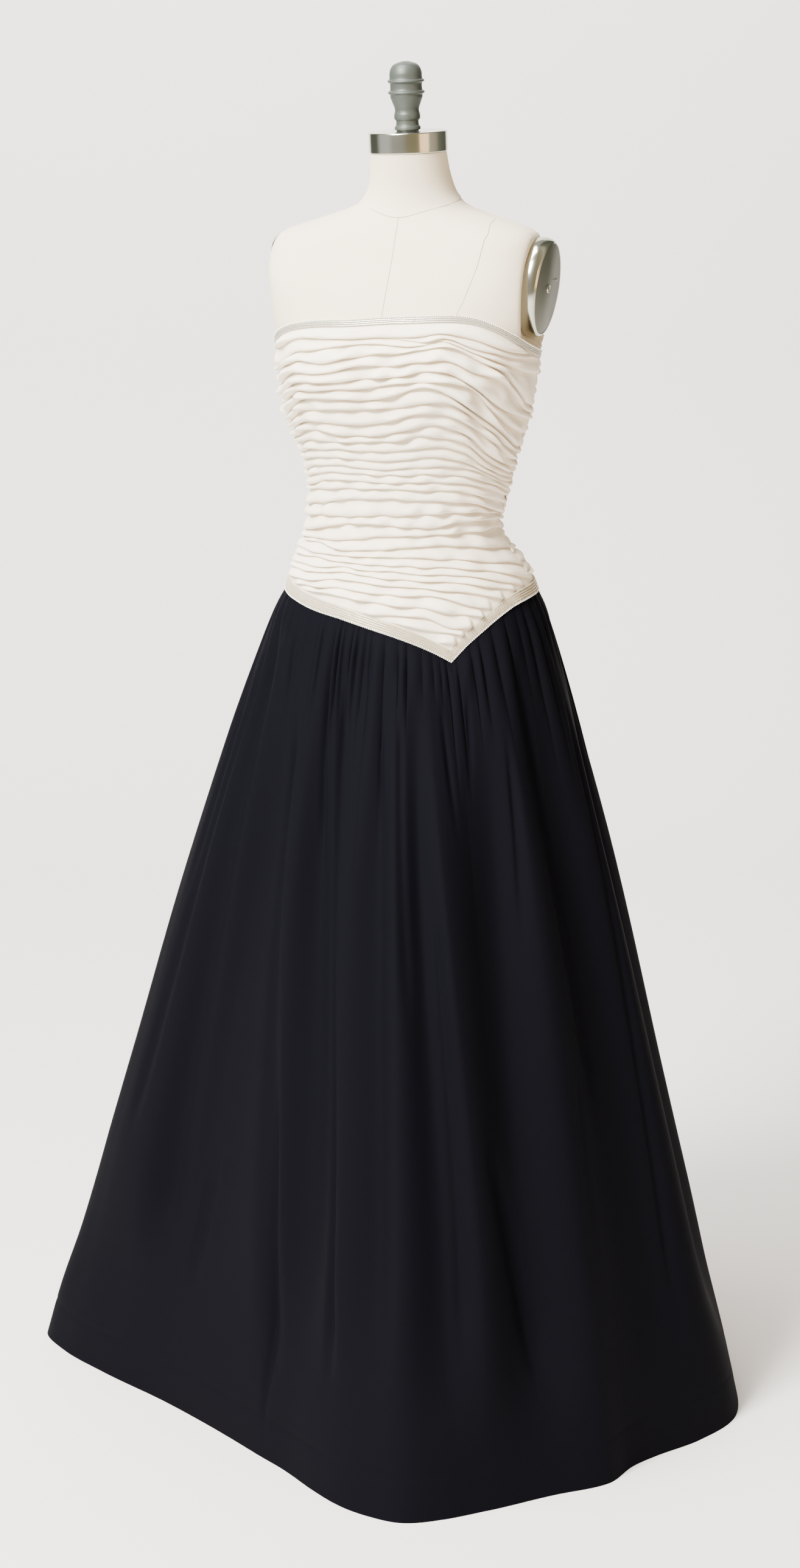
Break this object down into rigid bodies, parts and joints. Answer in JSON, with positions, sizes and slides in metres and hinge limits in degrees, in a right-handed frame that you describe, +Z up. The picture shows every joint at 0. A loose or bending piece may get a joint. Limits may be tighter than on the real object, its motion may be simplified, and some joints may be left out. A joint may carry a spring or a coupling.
{
  "type": "ball gown on a dress form",
  "caption": "Strapless ball gown with a ruched pale bodice, beaded trims and a full gathered dark skirt, on a limbless dress form that stands on the floor.",
  "frame": {"origin": "on the floor, below the axis of the form's pole", "axes": "+Z up, the front faces -Y, the wearer's left is +X"},
  "size_m": [0.9213, 0.8032, 1.6354],
  "materials": {
    "form_jersey": "cream cotton jersey stretched over the form",
    "polished_steel": "polished steel",
    "cast_finial": "grey cast metal, satin",
    "stand_iron": "dark enamel on cast iron",
    "bodice_crepe": "warm white matt silk crepe, ruched",
    "beaded_trim": "net tape covered in champagne and silver bugle beads",
    "skirt_taffeta": "blue-black silk taffeta with a soft sheen"
  },
  "bodies": {
    "root": {"form_torso": "form_jersey", "neck_cap": "polished_steel", "finial": "cast_finial", "arm_plate_left": "polished_steel", "arm_plate_right": "polished_steel", "arm_screw_left": "polished_steel", "arm_screw_right": "polished_steel", "stand_base": "stand_iron", "stand_pole": "polished_steel", "bodice_front": "bodice_crepe", "bodice_back_left": "bodice_crepe", "bodice_back_right": "bodice_crepe", "back_placket": "bodice_crepe", "top_trim_front": "beaded_trim", "top_trim_back_left": "beaded_trim", "top_trim_back_right": "beaded_trim", "waist_trim_front": "beaded_trim", "waist_trim_back_left": "beaded_trim", "waist_trim_back_right": "beaded_trim", "skirt_front": "skirt_taffeta", "skirt_back_left": "skirt_taffeta", "skirt_back_right": "skirt_taffeta"}
  },
  "joints": []
}
